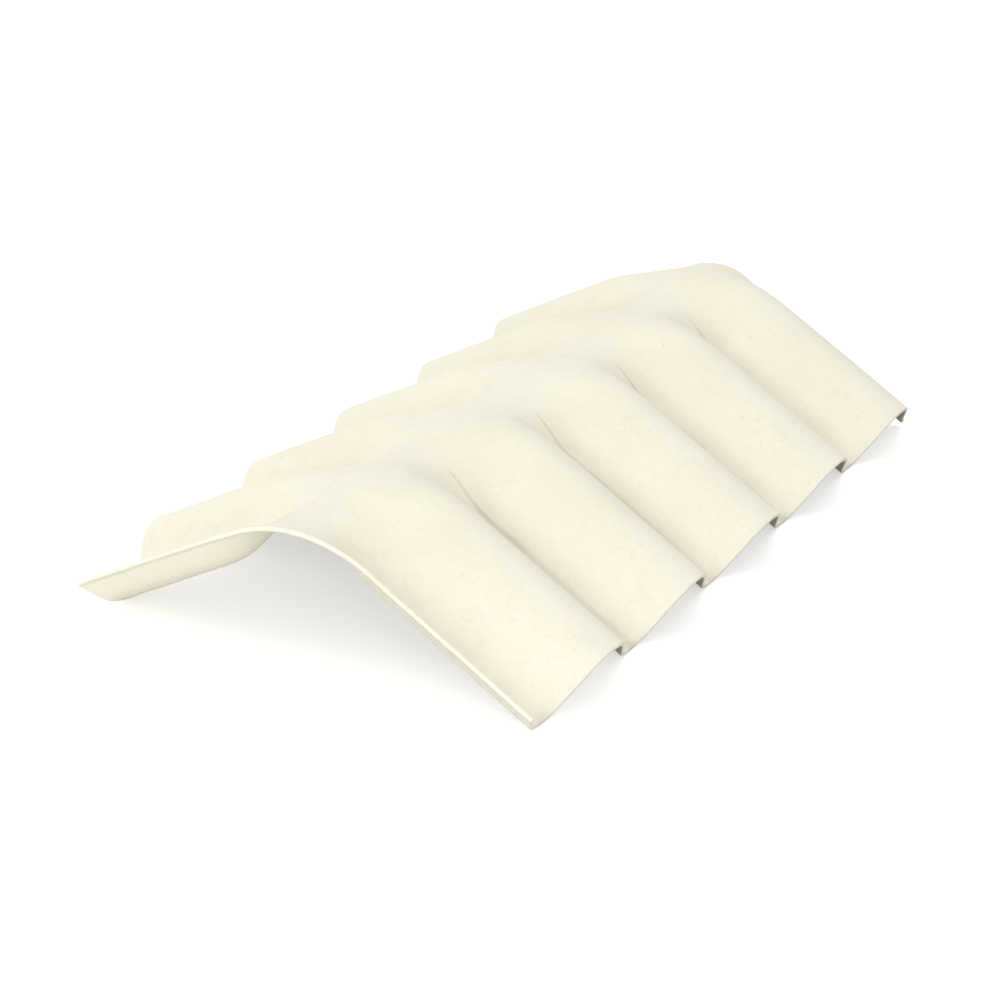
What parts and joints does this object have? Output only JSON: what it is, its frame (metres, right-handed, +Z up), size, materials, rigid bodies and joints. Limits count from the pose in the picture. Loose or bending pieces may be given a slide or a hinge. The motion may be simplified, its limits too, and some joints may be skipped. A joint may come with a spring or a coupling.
{
  "type": "roof ridge cap",
  "caption": "Corrugated fibre-cement roof ridge cap with two sloping wings, a rounded crown and deep waves that grow shallower over the ridge.",
  "frame": {"origin": "on the ground under the middle of the cap, half-way along the ridge", "axes": "+X across the ridge, +Y along the ridge away from the end with the rising lip, +Z up"},
  "size_m": [0.5272, 0.9194, 0.1562],
  "materials": {
    "fibre_cement": "matt"
  },
  "bodies": {
    "root": {"ridge_cap": "fibre_cement"}
  },
  "joints": []
}
